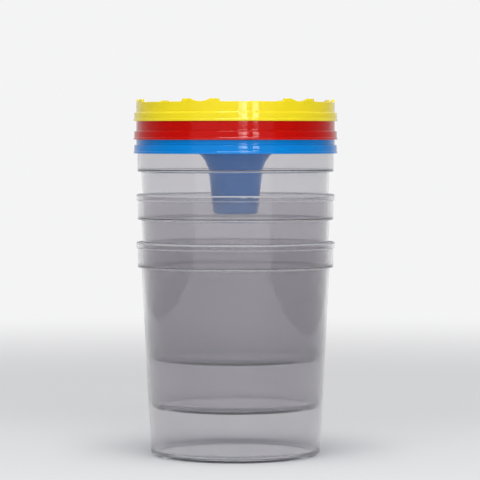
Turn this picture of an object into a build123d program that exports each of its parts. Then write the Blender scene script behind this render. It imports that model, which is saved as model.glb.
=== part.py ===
from build123d import *
import math
import os

# Non-spill paint cups, nested with their lids stacked on top. Millimetres, +Z up.
# The origin is on the surface that the lowest cup stands on, in the middle of its foot.
# Three equal clear cups nest in one another. Three equal lids, of three colours, stack
# on the top cup with their wells one inside the other.

# Cup
cup_height = 86.0           # foot to rim
cup_wall = 0.8              # measured level, all the way up
taper_share = 0.05          # radius that the wall gains in each millimetre of height
rim_radius = 39.9           # outside of the rim bead
bead_height = 2.4
bead_stand = 0.5            # how far the bead stands out from the collar
collar_height = 10.2        # rim to the step below it
step_width = 1.5            # how far the wall goes in at the step
nest_gap = 0.16             # level gap between two nested walls
floor_thickness = 1.0
base_bevel = 2.4            # between the outer wall and the foot
foot_width = 2.6            # flat ring that the cup stands on
foot_recess = 0.6           # how high the middle of the base stands off the surface

# Lid
grip_gap = 0.15             # level gap between a lid's band and what it grips
band_depth = 2.9            # how far the band reaches down over the rim
band_wall = 0.95
crown_wall = 1.2
crown_height = 4.5          # seat to the flat top of the crown
plate_thickness = 0.9       # flat floor of the dish
well_depth = 27.2           # seat to the foot of the well
well_foot_radius = 9.2      # outside of the well just above its curled foot
well_curl = 2.4             # how far the foot leans in to the mouth
well_wall = 0.5             # measured level
well_gap = 0.1              # level gap between the wells of two stacked lids
flare_radius = 12.0         # underside of the curve from the dish into the well
flare_steps = 3             # straight stretches that the curve is turned in

# Brush rests on the crown
rest_count = 6
rest_width = 16.3           # across the foot of one rest
rest_rise = 1.0             # its shoulders above the flat top of the crown
rest_ramp = 0.5             # how far each steep end leans in
rest_first_angle = -110.0   # about +Z from +X
scoop_radius = 8.8
scoop_dip = 0.35            # bottom of the scoop below the flat top of the crown

# The top lid is set down on the stack but not pressed home
top_lid_lift = 1.9

overrun = 1.0               # how far every cutting or trimming body runs past the wall

# Worked out from the sizes above
nest_pitch = (cup_wall + nest_gap) / taper_share
band_inner_radius = rim_radius + grip_gap
band_outer_radius = band_inner_radius + band_wall
crown_inner_radius = rim_radius - crown_wall
crown_top = crown_height + rest_rise
stack_pitch = crown_top
well_slope_share = (well_wall + well_gap) / stack_pitch


def turned(points):
    """Solid turned about +Z from an outline of (radius, height) points."""
    return revolve(Plane.XZ * make_face(Polyline(*points, close=True)), Axis.Z)


def cup():
    """One cup: a tapered wall with a step near the top, a rim bead and a foot ring."""
    collar_radius = rim_radius - bead_stand
    step_height = cup_height - collar_height
    wall_top_radius = collar_radius - step_width
    floor_height = foot_recess + floor_thickness
    ledge_height = step_height + cup_wall
    bead_foot = cup_height - bead_height
    wall_foot_radius = wall_top_radius - (step_height - base_bevel) * taper_share
    foot_radius = wall_foot_radius - base_bevel
    recess_radius = foot_radius - foot_width
    return turned([
        (0, foot_recess),
        (recess_radius - foot_recess, foot_recess),
        (recess_radius, 0),
        (foot_radius, 0),
        (wall_foot_radius, base_bevel),
        (wall_top_radius, step_height),
        (collar_radius, step_height),
        (collar_radius, bead_foot),
        (rim_radius, bead_foot),
        (rim_radius, cup_height),
        (collar_radius - cup_wall, cup_height),
        (collar_radius - cup_wall, ledge_height),
        (wall_top_radius - cup_wall, ledge_height),
        (wall_foot_radius - cup_wall, base_bevel + cup_wall),
        (foot_radius, floor_height),
        (0, floor_height),
    ])


def flare(radius, well_radius, height):
    """Points of the curve from the dish's floor, at the height given, round into the well."""
    lean = math.atan(well_slope_share)
    centre_radius = well_radius + radius / math.cos(lean) - radius * math.tan(lean)
    turns = [(math.pi / 2 - lean) * step / flare_steps for step in range(flare_steps + 1)]
    return [
        (centre_radius - radius * math.sin(turn), height - radius + radius * math.cos(turn))
        for turn in turns
    ]


def crown_gaps():
    """What the crown's wall lacks above its flat top: all of the ring but the brush rests."""
    foot_half = rest_width / 2
    top_half = foot_half - rest_ramp
    front = make_face(Polyline(
        (foot_half, crown_height),
        (top_half, crown_top),
        (top_half, crown_top + overrun),
        (-top_half, crown_top + overrun),
        (-top_half, crown_top),
        (-foot_half, crown_height),
        close=True,
    ))
    block = extrude(Plane.YZ * front, rim_radius + 2 * overrun)
    ring = turned([
        (crown_inner_radius - overrun, crown_height),
        (rim_radius + overrun, crown_height),
        (rim_radius + overrun, crown_top + overrun),
        (crown_inner_radius - overrun, crown_top + overrun),
    ])
    return ring - [place * block for place in PolarLocations(0, rest_count, rest_first_angle)]


def scoop():
    """Round bar over +X that leaves the hollow in which a brush handle lies."""
    length = crown_wall + 2 * overrun
    middle = rim_radius - crown_wall / 2
    height = crown_height - scoop_dip + scoop_radius
    return Pos(middle, 0, height) * Rot(0, 90, 0) * Cylinder(scoop_radius, length)


def lid():
    """One lid, its seat at height zero: band, shoulder, crown with brush rests, dish and well."""
    shoulder = band_outer_radius - rim_radius
    curl_top = well_curl - well_depth
    well_radius = well_foot_radius - curl_top * well_slope_share
    dish_well_radius = well_radius + plate_thickness * well_slope_share - well_wall
    mouth_radius = well_foot_radius - well_curl
    curl_wall = well_wall * math.sqrt(2)
    body = turned([
        (band_inner_radius, 0),
        (band_inner_radius, -band_depth),
        (band_outer_radius, -band_depth),
        (band_outer_radius, 0),
        (rim_radius, shoulder),
        (rim_radius, crown_top),
        (crown_inner_radius, crown_top),
        (crown_inner_radius, plate_thickness),
        *flare(flare_radius + plate_thickness, dish_well_radius, plate_thickness),
        (well_foot_radius - well_wall, curl_top + curl_wall - well_wall),
        (mouth_radius, curl_wall - well_depth),
        (mouth_radius, -well_depth),
        (well_foot_radius, curl_top),
        *reversed(flare(flare_radius, well_radius, 0)),
    ])
    body -= crown_gaps()
    for place in PolarLocations(0, rest_count, rest_first_angle):
        body -= place * scoop()
    return body


# Each cup stands one nest pitch above the last, and each lid one stack pitch.
cup_names = ["lower_cup", "middle_cup", "upper_cup"]
lid_names = ["blue_lid", "red_lid", "yellow_lid"]
cup_feet = [place * nest_pitch for place in range(len(cup_names))]
top_rim = cup_feet[-1] + cup_height
lid_seats = [top_rim + place * stack_pitch for place in range(len(lid_names))]
lid_seats[-1] += top_lid_lift

one_cup = cup()
one_lid = lid()
os.makedirs("parts", exist_ok=True)
for name, height in zip(cup_names, cup_feet):
    export_step(Pos(0, 0, height) * one_cup, f"parts/{name}.step")
for name, seat in zip(lid_names, lid_seats):
    export_step(Pos(0, 0, seat) * one_lid, f"parts/{name}.step")

print("nest pitch", round(nest_pitch, 3), "stack pitch", round(stack_pitch, 3))
print("well slope", round(well_slope_share, 4), "lid seats", [round(s, 3) for s in lid_seats])
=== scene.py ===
# %% [markdown]
# # Nested paint cups under three non-spill lids
#
# Three clear cups stand one inside the other, and three glossy lids are stacked on the top cup.
# Every one of the six is a single moulding turned about the same upright axis, so almost all of
# the modelling is one idea: draw half of the section, round its corners, and carry it round.
#
# The frame gives each piece's place and size. The pieces made here are finer versions of the
# frame's solids, with the round edges that a real mould leaves, because round edges are what
# catch the light on glossy plastic.

import math

import bpy
import numpy as np
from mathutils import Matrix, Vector


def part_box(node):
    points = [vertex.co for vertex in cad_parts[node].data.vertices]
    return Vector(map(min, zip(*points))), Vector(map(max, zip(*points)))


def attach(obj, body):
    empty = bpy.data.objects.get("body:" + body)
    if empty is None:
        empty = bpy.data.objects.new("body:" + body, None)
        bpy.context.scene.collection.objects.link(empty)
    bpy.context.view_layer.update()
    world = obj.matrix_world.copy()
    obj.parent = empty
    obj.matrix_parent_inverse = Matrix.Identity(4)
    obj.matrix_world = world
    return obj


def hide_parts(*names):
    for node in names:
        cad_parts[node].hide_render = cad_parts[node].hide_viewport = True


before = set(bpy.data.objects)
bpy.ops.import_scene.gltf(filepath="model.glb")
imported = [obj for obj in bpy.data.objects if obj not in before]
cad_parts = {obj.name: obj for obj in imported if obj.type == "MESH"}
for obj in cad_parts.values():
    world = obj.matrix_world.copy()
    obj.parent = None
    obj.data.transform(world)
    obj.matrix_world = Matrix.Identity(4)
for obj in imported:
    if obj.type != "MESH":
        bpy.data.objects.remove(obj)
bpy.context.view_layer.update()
MM = 0.001

# %% [markdown]
# ## Camera
#
# The photograph was taken from far away with a long lens: upright lines stay upright, and the
# rings of the lids show as almost straight lines. A lens of 209 mm on a 36 mm sensor at 1.12 m
# gives 0.388 mm to a pixel on the front of the cups. The camera is level with the lids and looks
# down by two degrees to put the lowest cup's foot at the bottom of the frame.

# %% Camera
camera_distance = 1122 * MM     # from the axis
camera_side = 1.8 * MM          # the axis lies a little left of the middle
camera_height = 127.8 * MM      # at the height of the blue lid
camera_tilt = math.radians(2.1)

camera_data = bpy.data.cameras.new("camera")
camera_data.sensor_width = 36
camera_data.lens = 209
camera_data.clip_start, camera_data.clip_end = 0.01, 50
camera = bpy.data.objects.new("camera", camera_data)
camera.location = (camera_side, -camera_distance, camera_height)
camera.rotation_euler = (math.pi / 2 - camera_tilt, 0, 0)
bpy.context.scene.collection.objects.link(camera)
bpy.context.scene.camera = camera
print("camera at", [round(v, 4) for v in camera.location])

# %% [markdown]
# ## Sizes
#
# These repeat the real sizes in millimetres. The heights of the cups' feet and of the lids'
# seats are read from the frame, so that each fine piece lies exactly where its solid is.

# %% Sizes of a cup and of a lid
cup_height, cup_wall, taper = 86.0, 0.8, 0.05
rim_radius, bead_height, bead_stand = 39.9, 2.4, 0.5
collar_height, step_width = 10.2, 1.5
floor_thickness, base_bevel, foot_width, foot_recess = 1.0, 2.4, 2.6, 0.6
gate_radius, gate_rise = 1.1, 0.3     # the mark where the plastic was let into the mould

band_gap, band_depth, band_wall = 0.15, 2.9, 0.95
lip_height, lip_stand, lip_ramp = 0.75, 0.22, 0.25    # rolled lip at the foot of the band
band_middle, band_lean = -0.65, 0.05  # the band's face leans in a little from its middle up
shoulder, shoulder_rise = 0.6, 0.05
crown_wall, crown_height, plate = 1.2, 4.75, 0.9
groove_depth, groove_side = 0.45, 0.2
stack_pitch, well_gap = 5.5, 0.1      # from seat to seat, and level between two wells
well_depth, well_foot, well_curl, well_wall = 27.2, 9.2, 2.4, 0.5
well_slope = (well_wall + well_gap) / stack_pitch
flare_radius = 12.0
rest_count, rest_width, rest_rise, rest_ramp = 6, 16.3, 1.15, 0.7
rest_first_angle, scoop_radius, scoop_floor = -110.4, 8.3, 0.1
print("a cup is", cup_height, "mm high, and a lid", 2 * (rim_radius + band_gap + band_wall), "mm wide")

# %% [markdown]
# ## Rounded outlines
#
# An outline is a list of corners with a rounding for each. Cutting a corner back by
# rounding * tan(half its turn) on both sides leaves room for an arc that meets both sides
# smoothly. Long straight stretches get a point close to each end as well. Without it, smooth
# shading would smear the arc's light over the whole wall.

# %% Helper: a rounded outline
def rounded(corners, closed, steps=7, support=0.25, longest=4.0):
    """Points (across, up, share) along corners of (across, up, rounding, share).

    Arc point = centre + rounding * (outward side turned by an even part of the corner's turn),
    with the centre one rounding inwards from both sides. Between the arcs, points are added a
    support's length from each end, and every longest stretch, by interpolation over the length.
    """
    spot, rounding, share = np.split(np.array(corners, float), (2, 3), axis=1)
    before, after = spot - np.roll(spot, 1, 0), np.roll(spot, -1, 0) - spot
    before /= np.linalg.norm(before, axis=1, keepdims=True)
    after /= np.linalg.norm(after, axis=1, keepdims=True)
    cross = before[:, :1] * after[:, 1:] - before[:, 1:] * after[:, :1]
    turn = np.arctan2(cross, (before * after).sum(1, keepdims=True))
    side = np.sign(turn) * np.stack((-before[:, 1], before[:, 0]), 1)
    centre = spot - before * rounding * np.tan(np.abs(turn) / 2) + side * rounding
    part = (turn * np.linspace(0, 1, steps))[:, :, None]
    across = np.stack((side[:, 1], -side[:, 0]), 1)
    arc = -side[:, None] * np.cos(part) + across[:, None] * np.sin(part)
    points = (centre[:, None] + rounding[:, None] * arc).reshape(-1, 2)
    points = np.hstack((points, np.repeat(share, steps, 0)))
    if closed:
        points = np.vstack((points, points[:1]))
    length = np.linalg.norm(np.diff(points[:, :2], axis=0), axis=1)
    points = points[np.concatenate(([True], length > 1e-6))]
    length = np.linalg.norm(np.diff(points[:, :2], axis=0), axis=1)
    along = np.concatenate(([0], np.cumsum(length)))
    straight = length > 3 * support
    extra = np.arange(0, along[-1], longest)
    near = np.abs(extra[:, None] - along[None]).min(1)
    marks = np.concatenate((
        along, along[:-1][straight] + support, along[1:][straight] - support,
        extra[near > 2 * support]))
    marks = np.unique(marks.round(6))
    points = np.stack([np.interp(marks, along, column) for column in points.T], 1)
    return points[:-1] if closed else points

# %% [markdown]
# ## Turned surfaces
#
# Carrying the outline round the axis gives a grid with two parameters: the place along the
# outline and the angle. An outline that starts and ends on the axis is closed by a fan of
# triangles at each end, and one that runs round in a loop closes on itself. The solid always
# lies on the left of the outline, and that makes the faces point outwards.

# %% Helper: an outline carried round the axis
def turned_mesh(name, outline, angles, lift=0.0, base=0.0):
    """Surface of points (r cos a, r sin a, base + up + share * lift(a)), in millimetres.

    r, up and share come from the outline, and lift is one height for each angle.
    """
    radius, up, share = outline.T
    looped = radius[0] > 1e-6
    lift = np.broadcast_to(lift, angles.shape)
    height = base + up[:, None] + share[:, None] * lift[None]
    grid = np.stack((np.outer(radius, np.cos(angles)), np.outer(radius, np.sin(angles)), height), 2)
    rows, columns = len(radius), len(angles)
    if not looped:
        grid, rows = grid[1:-1], rows - 2
    index = np.arange(rows * columns).reshape(rows, columns)
    beside = np.roll(index, -1, 1)
    above, above_beside = np.roll(index, -1, 0), np.roll(beside, -1, 0)
    quads = np.stack((index, beside, above_beside, above), 2)
    quads = quads.reshape(-1, 4) if looped else quads[:-1].reshape(-1, 4)
    points, corners, sizes = grid.reshape(-1, 3), quads.ravel(), np.full(len(quads), 4)
    if not looped:
        poles = [[0, 0, base + up[0]], [0, 0, base + up[-1]]]
        low = np.full(columns, len(points))
        fans = np.vstack((
            np.stack((low, beside[0], index[0]), 1),
            np.stack((low + 1, index[-1], beside[-1]), 1)))
        points = np.vstack((points, poles))
        corners = np.concatenate((corners, fans.ravel()))
        sizes = np.concatenate((sizes, np.full(len(fans), 3)))
    mesh = bpy.data.meshes.new(name)
    mesh.vertices.add(len(points))
    mesh.vertices.foreach_set("co", (points * MM).ravel())
    mesh.loops.add(len(corners))
    mesh.loops.foreach_set("vertex_index", corners.astype(np.int32))
    mesh.polygons.add(len(sizes))
    mesh.polygons.foreach_set("loop_start", (np.cumsum(sizes) - sizes).astype(np.int32))
    mesh.polygons.foreach_set("use_smooth", np.ones(len(sizes), bool))
    mesh.update(calc_edges=True)
    mesh.validate()
    piece = bpy.data.objects.new(name, mesh)
    bpy.context.scene.collection.objects.link(piece)
    print(name, "has", len(points), "points and", int((sizes - 2).sum()), "triangles")
    return piece

# %% [markdown]
# ## Colours and nodes
#
# Colours are written as the eye sees them on a screen, and the renderer wants light that adds
# up, so one function turns the first into the second. One more adds a node to a material.

# %% Helpers: colours, nodes and materials
def linear(colour):
    """Linear (r, g, b, 1) of a #RRGGBB screen colour: c / 12.92, or ((c + 0.055) / 1.055) ^ 2.4."""
    c = np.array([int(colour[i:i + 2], 16) for i in (1, 3, 5)]) / 255
    return (*np.where(c <= 0.04045, c / 12.92, ((c + 0.055) / 1.055) ** 2.4).tolist(), 1.0)


def add_node(tree, kind, settings=None, inputs=None):
    """Adds one node. Settings are its properties. Inputs are values or other nodes' outputs."""
    node = tree.nodes.new("ShaderNode" + kind)
    for key, value in (settings or {}).items():
        setattr(node, key, value)
    for key, value in (inputs or {}).items():
        if isinstance(value, bpy.types.NodeSocket):
            tree.links.new(value, node.inputs[key])
        else:
            node.inputs[key].default_value = value
    return node


def empty_material(name):
    """A new material's node tree with nothing in it but its output."""
    material = bpy.data.materials.new(name)
    material.use_nodes = True
    material.node_tree.nodes.clear()
    return material, material.node_tree, add_node(material.node_tree, "OutputMaterial")


def pattern_scale(millimetres):
    """Texture scale at which one repeat of a pattern measures this many millimetres."""
    return 1 / (millimetres * MM)

# %% [markdown]
# ## Clear cups
#
# The cups are injection moulded from a clear plastic, clarified polypropylene: glossy, with a
# slightly smoky cast where several walls lie behind one another, and a faint milky haze. The
# colour is small in one wall and builds up over many. A few tiny lumps, of dust that was in the
# melt, catch the light. At the rim, under the bead and at the step, where the cups rub on one
# another, the gloss is worn to a fine frost. A whiter finish there also paints in the pale
# highlight lines round the stack.
#
# Light from lamps goes straight through by a transparent shader, because bent light through
# so many thin walls would take very long to find its way.

# %% Clear polypropylene
def clear_polypropylene(name, tint, pass_tint, clear_share, roughness):
    """Moulded clear plastic: mostly glass, a little white, and a straight way for lamps' light."""
    material, tree, output = empty_material(name)
    place = add_node(tree, "TexCoord").outputs["Object"]
    # The mould's polish leaves long shallow waves. Real ones measure about 8 mm.
    waves = add_node(tree, "TexNoise", inputs={
        "Vector": place, "Scale": pattern_scale(8), "Detail": 1.5, "Roughness": 0.4})
    polish = add_node(tree, "Bump", inputs={
        "Height": waves.outputs[0], "Strength": 1.0, "Distance": 0.03 * MM})
    # Lumps half a millimetre across, in a pattern of cells that measure 5 mm
    cells = add_node(tree, "TexVoronoi", inputs={"Vector": place, "Scale": pattern_scale(5)})
    lump = add_node(tree, "MapRange", {"interpolation_type": "SMOOTHSTEP"}, {
        "Value": cells.outputs["Distance"], "From Min": 0.02, "From Max": 0.05,
        "To Min": 1.0, "To Max": 0.0})
    bump = add_node(tree, "Bump", inputs={
        "Height": lump.outputs[0], "Strength": 1.0, "Distance": 0.08 * MM, "Normal": polish.outputs[0]})
    plastic = add_node(tree, "BsdfPrincipled", inputs={
        "Base Color": tint, "Roughness": roughness, "IOR": 1.49,
        "Transmission Weight": clear_share, "Normal": bump.outputs[0]})
    passing = add_node(tree, "BsdfTransparent", inputs={"Color": pass_tint})
    path = add_node(tree, "LightPath")
    lamps = add_node(tree, "Math", {"operation": "MAXIMUM"}, {
        0: path.outputs["Is Shadow Ray"], 1: path.outputs["Is Diffuse Ray"]})
    mix = add_node(tree, "MixShader", inputs={
        0: lamps.outputs[0], 1: plastic.outputs[0], 2: passing.outputs[0]})
    tree.links.new(mix.outputs[0], output.inputs["Surface"])
    return material


clear_plastic = clear_polypropylene(
    "clear_moulded_polypropylene", linear("#E6E5E7"), linear("#EFEFF1"), 0.98, 0.05)
# A whiter, frosted copy for the rings that rub. Its white paints the pale highlight lines.
frost_and_highlight_plastic = clear_polypropylene(
    "frosted_highlight_polypropylene", linear("#F0F0F2"), linear("#E6E6E8"), 0.6, 0.35)
print("made", clear_plastic.name, "and", frost_and_highlight_plastic.name)

# %% [markdown]
# ## One cup's section
#
# From the axis under the base: the gate's mark, the raised middle, the foot ring, the round base
# edge, the tapered wall, the step under the collar, the collar, the bead at the rim, and back down
# inside. The corners that rub have a share of 1. The rings of faces between two points of
# share 1 get the whiter, frosted finish, which paints the pale highlight lines.

# %% Cup outline
collar_radius = rim_radius - bead_stand
step_height = cup_height - collar_height
wall_top = collar_radius - step_width
wall_foot = wall_top - step_height * taper
recess_radius = wall_top - (step_height - base_bevel) * taper - base_bevel - foot_width
floor_top = foot_recess + floor_thickness
inner_foot = wall_foot - cup_wall + floor_top * taper

cup_outline = rounded([
    (0, foot_recess - gate_rise, 0, 0),
    (gate_radius, foot_recess - gate_rise, 0.15, 0),
    (gate_radius + gate_rise, foot_recess, 0.3, 0),
    (recess_radius - foot_recess, foot_recess, 0.5, 0),
    (recess_radius, 0, 0.3, 1),
    (wall_foot, 0, base_bevel, 0),
    (wall_top, step_height, 0.25, 0),
    (collar_radius, step_height, 0.45, 1),
    (collar_radius, cup_height - bead_height, 0.15, 0),
    (rim_radius, cup_height - bead_height, 0.25, 1),
    (rim_radius, cup_height - bead_height / 2, 0, 0),
    (rim_radius, cup_height, 0.6, 1),
    (collar_radius - cup_wall, cup_height, 0.4, 1),
    (collar_radius - cup_wall, step_height + cup_wall, 0.4, 0),
    (wall_top - cup_wall, step_height + cup_wall, 0.4, 0),
    (inner_foot, floor_top, 1.7, 0),
    (0, floor_top, 0, 0),
], closed=False)
cup_angles = np.linspace(0, 2 * np.pi, 240, endpoint=False)
# Rings between two corners of share 1 are frosted wear. Their whiter finish paints the pale highlight
# lines.
both_shares = np.minimum(cup_outline[1:-2, 2], cup_outline[2:-1, 2])
frost_and_highlight_rings = both_shares > 0.999    # a share of 1, but for rounding errors
print("cup outline has", len(cup_outline), "points and", frost_and_highlight_rings.sum(), "frosted highlight rings")

# %% Three nested cups
for node in ("lower_cup", "middle_cup", "upper_cup"):
    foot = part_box(node)[0].z / MM
    cup = turned_mesh(node + "_moulding", cup_outline, cup_angles, base=foot)
    cup.data.materials.append(clear_plastic)
    cup.data.materials.append(frost_and_highlight_plastic)
    # Faces of the frosted rings take the whiter finish, which paints the pale highlight lines.
    finish = np.zeros(len(cup.data.polygons), np.int32)
    finish[:len(frost_and_highlight_rings) * len(cup_angles)] = np.repeat(frost_and_highlight_rings, len(cup_angles))
    cup.data.polygons.foreach_set("material_index", finish)
    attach(cup, node)
    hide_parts(node)

# %% [markdown]
# ## Glossy coloured lids
#
# The lids are moulded from coloured polypropylene. It is glossy but never mirror sharp: the
# surface has shallow waves of a few millimetres, which break up the reflections of the lamps,
# and the colour drifts slightly where the melt flowed. A little light spreads inside the wall.

# %% Coloured polypropylene
def coloured_polypropylene(name, colour, shade, inside):
    """Moulded opaque plastic: two close tones, a wavy gloss and a little light inside it."""
    material, tree, output = empty_material(name)
    place = add_node(tree, "TexCoord").outputs["Object"]
    # Flow marks of the melt, about 14 mm long on a real lid
    flow = add_node(tree, "TexNoise", inputs={
        "Vector": place, "Scale": pattern_scale(14), "Detail": 3.0, "Roughness": 0.55})
    tone = add_node(tree, "Mix", {"data_type": "RGBA"}, {
        0: flow.outputs[0], 6: linear(shade), 7: linear(colour)})
    # Waves that the mould's polish leaves, about 3 mm
    waves = add_node(tree, "TexNoise", inputs={
        "Vector": place, "Scale": pattern_scale(3), "Detail": 2.0, "Roughness": 0.5})
    bump = add_node(tree, "Bump", inputs={
        "Height": waves.outputs[0], "Strength": 1.0, "Distance": 0.017 * MM})
    gloss = add_node(tree, "MapRange", inputs={
        "Value": flow.outputs[0], "From Min": 0.3, "From Max": 0.7, "To Min": 0.04, "To Max": 0.07})
    plastic = add_node(tree, "BsdfPrincipled", inputs={
        "Base Color": tone.outputs[2], "Roughness": gloss.outputs[0], "IOR": 1.49,
        "Subsurface Weight": 0.12, "Subsurface Radius": inside, "Subsurface Scale": 0.8 * MM,
        "Normal": bump.outputs[0]})
    tree.links.new(plastic.outputs[0], output.inputs["Surface"])
    return material


lid_looks = {
    "blue": ("#0A8ADC", "#087DD0", (0.2, 0.5, 1.0)),
    "red": ("#C81009", "#BD0D07", (1.0, 0.2, 0.1)),
    "yellow": ("#F6E32C", "#F1DB26", (1.0, 0.7, 0.2)),
}
lid_plastics = {
    colour + "_lid": coloured_polypropylene(colour + "_moulded_polypropylene", *looks)
    for colour, looks in lid_looks.items()
}
print("made", ", ".join(m.name for m in lid_plastics.values()))

# %% [markdown]
# ## Brush rests along the crown
#
# The crown's top edge is level except for six rests, where it rises by just over a millimetre and
# a round bar has been scooped out of the rise. It is one more rounded outline, of height over
# length along the crown, and it repeats every sixth of a turn. The scoop's points stop short of
# its two ends, where the rounding begins.

# %% Height of the crown's edge at each angle
crown_middle = rim_radius - crown_wall / 2
sector = 2 * np.pi * crown_middle / rest_count
rest_top = crown_height + rest_rise
scoop_middle = crown_height + scoop_floor + scoop_radius
scoop_half = math.acos((scoop_middle - rest_top) / scoop_radius)
hollow = np.linspace(-scoop_half, scoop_half, 21)[2:-2]
half = rest_width / 2

crown_edge = rounded([
    (-sector / 2, crown_height, 0, 0),
    (-half, crown_height, 0.3, 0),
    (-half + rest_ramp, rest_top, 0.35, 0),
    (-scoop_radius * math.sin(scoop_half), rest_top, 0.6, 0),
    *[(scoop_radius * math.sin(b), scoop_middle - scoop_radius * math.cos(b), 0, 0) for b in hollow],
    (scoop_radius * math.sin(scoop_half), rest_top, 0.6, 0),
    (half - rest_ramp, rest_top, 0.35, 0),
    (half, crown_height, 0.3, 0),
    (sector / 2, crown_height, 0, 0),
], closed=False, steps=5, longest=2.0)[:-1]
turns = np.radians(rest_first_angle) + np.arange(rest_count)[:, None] * 2 * np.pi / rest_count
crown_angles = (turns + crown_edge[None, :, 0] / crown_middle).ravel()
crown_lift = np.tile(crown_edge[:, 1] - crown_height, rest_count)
print("crown has", len(crown_angles), "angles, lowest", round(crown_lift.min(), 3))

# %% [markdown]
# ## One lid's section
#
# From underneath: a shallow groove that the brush rests of the lid below reach up into, the band
# that grips the rim, with a rolled lip at its foot, the shoulder, the crown, the flat floor of the
# dish, the curve into the well, the well's curled foot, and back up underneath. Only the crown's
# top corners take the lift of the brush rests, so their share is 1.

# %% Lid outline
band_inner = rim_radius + band_gap
band_outer = band_inner + band_wall
crown_inner = rim_radius - crown_wall
well_low = well_foot - well_curl * well_slope       # the well's wall carried on down to its foot
well_high = well_low + well_depth * well_slope      # and up to the underside of the dish
band_face = band_outer - lip_stand
lip_top = lip_height - band_depth

lid_outline = rounded([
    (crown_inner - groove_side, 0, 0.1, 0),
    (crown_inner - groove_side, groove_depth, 0.1, 0),
    (band_inner, groove_depth, 0.1, 0),
    (band_inner, -band_depth, 0.3, 0),
    (band_outer, -band_depth, 0.3, 0),
    (band_outer, lip_top, 0.25, 0),
    (band_face, lip_top + lip_ramp, 0.3, 0),
    (band_face, band_middle, 25, 0),
    (band_face - band_lean, shoulder, 0.45, 0),
    (rim_radius, shoulder + shoulder_rise, 0.3, 0),
    (rim_radius, crown_height, 0.35, 1),
    (crown_inner, crown_height, 0.35, 1),
    (crown_inner, plate, 0.6, 0),
    (well_high - well_wall + plate * well_slope, plate, flare_radius + plate, 0),
    (well_low - well_wall, well_wall - well_depth, 1.25, 0),
    (well_foot - well_curl, well_wall - well_depth, 0.2, 0),
    (well_foot - well_curl, -well_depth, 0.2, 0),
    (well_low, -well_depth, 1.7, 0),
    (well_high, 0, flare_radius, 0),
], closed=True, steps=8)
print("lid outline has", len(lid_outline), "points")

# %% Three stacked lids
for node in ("blue_lid", "red_lid", "yellow_lid"):
    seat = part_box(node)[0].z / MM + well_depth
    lid = turned_mesh(node + "_moulding", lid_outline, crown_angles, crown_lift, base=seat)
    lid.data.materials.append(lid_plastics[node])
    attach(lid, node)
    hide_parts(node)

# %% [markdown]
# ## Floor and background
#
# The set stands on a pale matt floor. Near the object the floor takes its shadow, and further
# out it turns into the plain background, so that no horizon shows through the clear cups. Its
# underside is see-through, so that the foot of the lowest cup can be looked at from below.

# %% Floor
background = linear("#F4F4F5")
floor_radius, plain_start, plain_end = 6, 0.25, 0.9     # metres
floor_drop = 0.1 * MM       # keeps the floor clear of the lowest cup's foot
material, tree, output = empty_material("matt_floor")
place = add_node(tree, "TexCoord").outputs["Object"]
reach = add_node(tree, "VectorMath", {"operation": "LENGTH"}, {0: place})
far = add_node(tree, "MapRange", {"interpolation_type": "SMOOTHSTEP"}, {
    "Value": reach.outputs["Value"], "From Min": plain_start, "From Max": plain_end})
matt = add_node(tree, "BsdfDiffuse", inputs={"Color": linear("#F2F2F3")})
plain = add_node(tree, "Emission", inputs={"Color": background, "Strength": 1.0})
mix = add_node(tree, "MixShader", inputs={0: far.outputs[0], 1: matt.outputs[0], 2: plain.outputs[0]})
one_sided = add_node(tree, "MixShader", inputs={
    0: add_node(tree, "NewGeometry").outputs["Backfacing"], 1: mix.outputs[0],
    2: add_node(tree, "BsdfTransparent").outputs[0]})
tree.links.new(one_sided.outputs[0], output.inputs["Surface"])
bpy.ops.mesh.primitive_circle_add(
    vertices=96, radius=floor_radius, fill_type="NGON", location=(0, 0, -floor_drop))
floor = bpy.context.object
floor.name = "floor"
floor.data.materials.append(material)
print("floor radius", floor_radius, "m")

# %% [markdown]
# ## Light
#
# A room's even light comes from the world. What the camera sees behind the object, straight or
# through the clear walls, is the plain background. Mirrored in the plastic, the room is darker
# on the camera's side, as a studio is, so that the clear cups show an edge.

# %% World
world = bpy.data.worlds.new("studio")
bpy.context.scene.world = world
world.use_nodes = True
tree = world.node_tree
tree.nodes.clear()
path = add_node(tree, "LightPath")
seen = add_node(tree, "Math", {"operation": "MAXIMUM"}, {
    0: path.outputs["Is Camera Ray"], 1: path.outputs["Is Transmission Ray"]})
direction = add_node(tree, "SeparateXYZ", inputs={0: add_node(tree, "TexCoord").outputs["Generated"]})
behind = add_node(tree, "MapRange", {"interpolation_type": "SMOOTHSTEP"}, {
    "Value": direction.outputs["Y"], "From Min": -0.5, "From Max": 0.7, "To Min": 0.28, "To Max": 0.8})
room = add_node(tree, "Background", inputs={"Color": linear("#F4F5F7"), "Strength": 0.35})
mirrored = add_node(tree, "Background", inputs={"Color": background, "Strength": behind.outputs[0]})
shown = add_node(tree, "Background", inputs={"Color": background, "Strength": 1.0})
unseen = add_node(tree, "MixShader", inputs={
    0: path.outputs["Is Glossy Ray"], 1: room.outputs[0], 2: mirrored.outputs[0]})
mix = add_node(tree, "MixShader", inputs={
    0: seen.outputs[0], 1: unseen.outputs[0], 2: shown.outputs[0]})
tree.links.new(mix.outputs[0], add_node(tree, "OutputWorld").inputs["Surface"])
print("world nodes:", len(tree.nodes))

# %% [markdown]
# The lamps: a wide slim one above and in front, a square one overhead, whose glint runs along
# the rims, and three slim upright ones a little to the right. The wide one lights without being
# mirrored, because its image would draw a hard line along every shoulder. The upright ones leave
# the pair of bright strips on the lids: two side by side, a strong and a weak one, make the broad
# strip, and the third makes the narrow one. They end just above the lids' height, so a wall that
# leans back or lies higher mirrors them, and the others stay plain.

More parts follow.
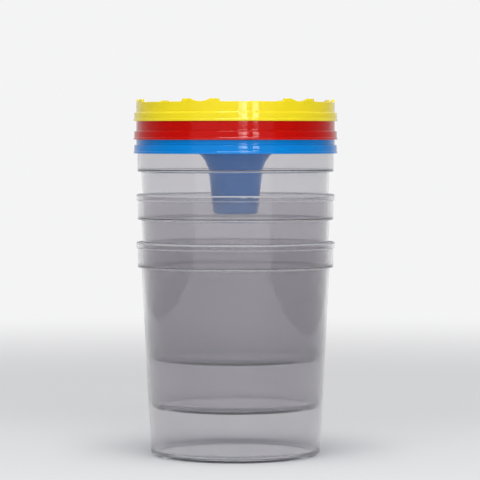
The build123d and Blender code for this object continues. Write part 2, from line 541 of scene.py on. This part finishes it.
# %% Lamps
def lamp(name, spot, size, strength, aim=(0, 0, 0.09)):
    """A rectangular lamp at a spot, facing a point, with a strength for each square metre."""
    data = bpy.data.lights.new(name, "AREA")
    data.shape, data.size, data.size_y = "RECTANGLE", *size
    data.energy = strength * size[0] * size[1]
    new = bpy.data.objects.new(name, data)
    new.location = spot
    new.rotation_euler = (new.location - Vector(aim)).to_track_quat("Z", "Y").to_euler()
    new.visible_transmission = False
    bpy.context.scene.collection.objects.link(new)
    return new


def round_about(azimuth, distance, height):
    """The point at an azimuth right of the camera's side, at a distance from the axis."""
    turn = math.radians(azimuth)
    return distance * math.sin(turn), -distance * math.cos(turn), height


key = lamp("key", round_about(-3.6, 1.15, 0.95), (2.3, 0.28), 14.5)
key.visible_glossy = False
lamp("overhead", (0, -0.2, 1.25), (0.5, 0.5), 21)
strip_middle, strip_tall = 0.31, 0.33
strips = (
    ("strip_near", 10.2, 0.085, 21),
    ("strip_beside", 5.6, 0.075, 11),
    ("strip_far", 22.6, 0.12, 16),
)
for name, azimuth, width, strength in strips:
    spot = round_about(azimuth, 1.0, strip_middle)
    lamp(name, spot, (width, strip_tall), strength, aim=(0, 0, strip_middle))

# %% [markdown]
# Clear and glossy things need something dark to mirror as well. Two cards, one on each side,
# give the cups and lids their darker sides. They turn dark within 60 mm of their near edge, and
# pale again behind the object, so that the dark in a wall fades out towards its rim. They act on
# reflections only.

# %% Dark cards
def card(name, near, far, tall, material):
    """An upright card on the floor between two azimuths, as (azimuth, distance) at each end."""
    (x0, y0, _), (x1, y1, _) = round_about(*near, 0), round_about(*far, 0)
    mesh = bpy.data.meshes.new(name)
    mesh.from_pydata([(x0, y0, 0), (x1, y1, 0), (x1, y1, tall), (x0, y0, tall)], [], [(0, 1, 2, 3)])
    new = bpy.data.objects.new(name, mesh)
    new.visible_camera = new.visible_diffuse = new.visible_transmission = new.visible_shadow = False
    bpy.context.scene.collection.objects.link(new)
    new.data.materials.append(material)


card_black, tree, output = empty_material("card_black")
place = add_node(tree, "SeparateXYZ", inputs={0: add_node(tree, "TexCoord").outputs["Object"]})
fade = add_node(tree, "MapRange", {"interpolation_type": "SMOOTHSTEP"}, {
    "Value": place.outputs["Y"], "From Min": -0.15, "From Max": 0.75, "To Min": 0.045, "To Max": 0.8})
start = add_node(tree, "MapRange", inputs={
    "Value": place.outputs["Y"], "From Min": -0.42, "From Max": -0.36, "To Min": 0.2, "To Max": 0.0})
both = add_node(tree, "Math", {"operation": "ADD"}, {0: fade.outputs[0], 1: start.outputs[0]})
black = add_node(tree, "Emission", inputs={"Color": background, "Strength": both.outputs[0]})
tree.links.new(black.outputs[0], output.inputs["Surface"])
card_height = 0.9
card("card_left", (-48.5, 0.634), (-150, 0.9), card_height, card_black)
card("card_right", (40.6, 0.553), (150, 0.9), card_height, card_black)
print("cards:", card_height, "m tall")

# %% [markdown]
# ## View and bounces
#
# A line of sight crosses up to twelve walls of plastic, and each has two faces, so the renderer
# is allowed more bounces than it takes by default.

# %% View settings
scene = bpy.context.scene
scene.view_settings.view_transform = "Standard"
scene.cycles.max_bounces = 36
scene.cycles.transmission_bounces = 36
scene.cycles.transparent_max_bounces = 48
scene.cycles.glossy_bounces = 8
scene.cycles.caustics_reflective = False
scene.cycles.caustics_refractive = False
print("bounces:", scene.cycles.max_bounces)
